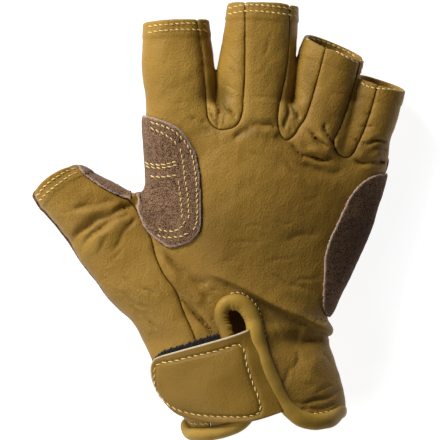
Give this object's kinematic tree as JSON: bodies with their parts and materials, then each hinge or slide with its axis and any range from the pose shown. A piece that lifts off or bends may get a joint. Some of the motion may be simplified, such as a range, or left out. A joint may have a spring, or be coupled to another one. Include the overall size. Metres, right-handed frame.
{
  "type": "climbing glove",
  "caption": "Fingerless leather climbing glove with suede palm overlay, rolled cuff edging and a wrist closing strap, lying palm down.",
  "frame": {"origin": "middle of the glove's bounding box, at the flat underside of the suede palm", "axes": "+Y from the wrist opening to the fingertips, +Z out of the back of the hand, +X towards the little finger"},
  "size_m": [0.1502, 0.1746, 0.0422],
  "materials": {
    "tan_leather": "satin",
    "brown_suede": "matte",
    "black_fabric": "matte"
  },
  "bodies": {
    "root": {"back_panel": "tan_leather", "palm_panel": "tan_leather", "thumb_panel": "tan_leather", "fourchette_index_middle": "tan_leather", "fourchette_middle_ring": "tan_leather", "fourchette_ring_little": "tan_leather", "palm_suede": "brown_suede", "thumb_suede": "brown_suede", "cuff_binding": "tan_leather", "strap": "tan_leather", "hook_patch": "black_fabric", "loop_patch": "black_fabric"}
  },
  "joints": []
}
